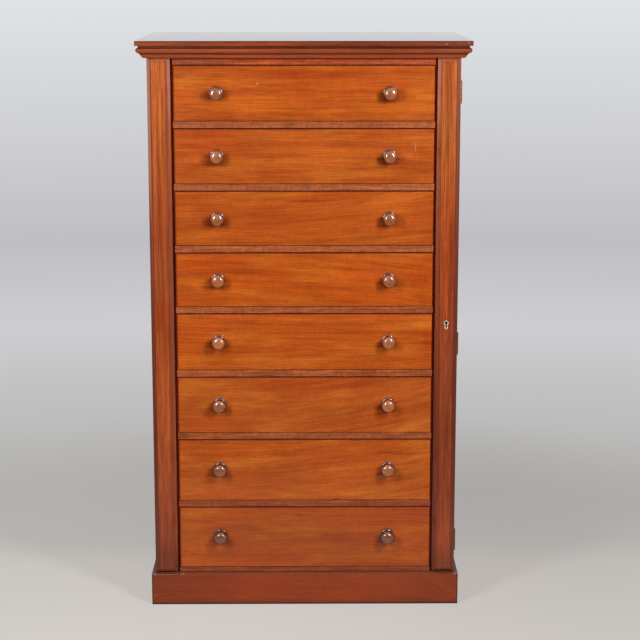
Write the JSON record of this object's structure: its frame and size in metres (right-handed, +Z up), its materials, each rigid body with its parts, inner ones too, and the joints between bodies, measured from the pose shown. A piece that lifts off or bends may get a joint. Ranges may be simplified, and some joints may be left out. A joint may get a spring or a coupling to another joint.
{
  "type": "tall chest of drawers with a locking stile",
  "caption": "Tall narrow chest of graduated drawers with turned knobs, a fixed pilaster, a hinged locking stile with a keyhole, a moulded cornice and a plain plinth.",
  "frame": {"origin": "on the floor, under the middle of the top board's plan", "axes": "+Z up, -Y out of the front, +X to the right of someone facing the front"},
  "size_m": [0.677, 0.452, 1.1867],
  "materials": {
    "drawer_front_wood": "french polished mahogany, satin gloss",
    "rail_wood": "french polished mahogany",
    "pilaster_wood": "french polished mahogany",
    "cornice_wood": "french polished mahogany",
    "top_wood": "french polished mahogany",
    "plinth_wood": "french polished mahogany, darker",
    "side_wood": "french polished mahogany",
    "knob_wood": "turned mahogany, polished",
    "back_wood": "bare pine, aged",
    "inner_wood": "bare pine",
    "drawer_box_wood": "bare oak linings",
    "hinge_brass": "aged brass",
    "escutcheon_brass": "worn bright brass",
    "lock_brass": "aged brass",
    "hinge_steel": "dull steel",
    "lock_steel": "dull steel"
  },
  "bodies": {
    "carcase": {"plinth_front": "plinth_wood", "plinth_sides": "plinth_wood", "plinth_back": "inner_wood", "plinth_blocks": "inner_wood", "bottom_board": "inner_wood", "left_side": "side_wood", "right_side": "side_wood", "carcase_top": "inner_wood", "back_boards": "back_wood", "frieze_rail": "rail_wood", "cornice_front": "cornice_wood", "cornice_returns": "cornice_wood", "top_board": "top_wood", "left_pilaster": "pilaster_wood", "front_posts": "inner_wood", "drawer_rails": "rail_wood", "drawer_runners": "inner_wood", "drawer_guides": "inner_wood", "drawer_stops": "inner_wood", "link_plate": "lock_steel", "hinge_carcase_leaves": "hinge_brass", "hinge_pins": "hinge_steel"},
    "locking_stile": {"locking_stile": "pilaster_wood", "hinge_stile_leaves": "hinge_brass", "lock_case": "lock_brass", "keyhole_escutcheon": "escutcheon_brass"},
    "lock_bolt": {"lock_bolt": "lock_steel"},
    "drawer_1": {"drawer_1_front": "drawer_front_wood", "drawer_1_box": "drawer_box_wood", "drawer_1_bottom": "drawer_box_wood", "drawer_1_knobs": "knob_wood"},
    "drawer_2": {"drawer_2_front": "drawer_front_wood", "drawer_2_box": "drawer_box_wood", "drawer_2_bottom": "drawer_box_wood", "drawer_2_knobs": "knob_wood"},
    "drawer_3": {"drawer_3_front": "drawer_front_wood", "drawer_3_box": "drawer_box_wood", "drawer_3_bottom": "drawer_box_wood", "drawer_3_knobs": "knob_wood"},
    "drawer_4": {"drawer_4_front": "drawer_front_wood", "drawer_4_box": "drawer_box_wood", "drawer_4_bottom": "drawer_box_wood", "drawer_4_knobs": "knob_wood"},
    "drawer_5": {"drawer_5_front": "drawer_front_wood", "drawer_5_box": "drawer_box_wood", "drawer_5_bottom": "drawer_box_wood", "drawer_5_knobs": "knob_wood"},
    "drawer_6": {"drawer_6_front": "drawer_front_wood", "drawer_6_box": "drawer_box_wood", "drawer_6_bottom": "drawer_box_wood", "drawer_6_knobs": "knob_wood"},
    "drawer_7": {"drawer_7_front": "drawer_front_wood", "drawer_7_box": "drawer_box_wood", "drawer_7_bottom": "drawer_box_wood", "drawer_7_knobs": "knob_wood"},
    "drawer_8": {"drawer_8_front": "drawer_front_wood", "drawer_8_box": "drawer_box_wood", "drawer_8_bottom": "drawer_box_wood", "drawer_8_knobs": "knob_wood"}
  },
  "joints": [
    {"name": "stile_hinge", "type": "hinge", "parent": "carcase", "child": "locking_stile", "pos_m": [0.3175, -0.18275, 0.609], "axis": [0, 0, 1], "range_deg": [0, 175]},
    {"name": "lock_bolt_slide", "type": "slide", "parent": "locking_stile", "child": "lock_bolt", "axis": [0, 0, 1], "range_m": [0, 0.008]},
    {"name": "drawer_1_slide", "type": "slide", "parent": "carcase", "child": "drawer_1", "axis": [0, -1, 0], "range_m": [0, 0.3]},
    {"name": "drawer_2_slide", "type": "slide", "parent": "carcase", "child": "drawer_2", "axis": [0, -1, 0], "range_m": [0, 0.3]},
    {"name": "drawer_3_slide", "type": "slide", "parent": "carcase", "child": "drawer_3", "axis": [0, -1, 0], "range_m": [0, 0.3]},
    {"name": "drawer_4_slide", "type": "slide", "parent": "carcase", "child": "drawer_4", "axis": [0, -1, 0], "range_m": [0, 0.3]},
    {"name": "drawer_5_slide", "type": "slide", "parent": "carcase", "child": "drawer_5", "axis": [0, -1, 0], "range_m": [0, 0.3]},
    {"name": "drawer_6_slide", "type": "slide", "parent": "carcase", "child": "drawer_6", "axis": [0, -1, 0], "range_m": [0, 0.3]},
    {"name": "drawer_7_slide", "type": "slide", "parent": "carcase", "child": "drawer_7", "axis": [0, -1, 0], "range_m": [0, 0.3]},
    {"name": "drawer_8_slide", "type": "slide", "parent": "carcase", "child": "drawer_8", "axis": [0, -1, 0], "range_m": [0, 0.3]}
  ]
}
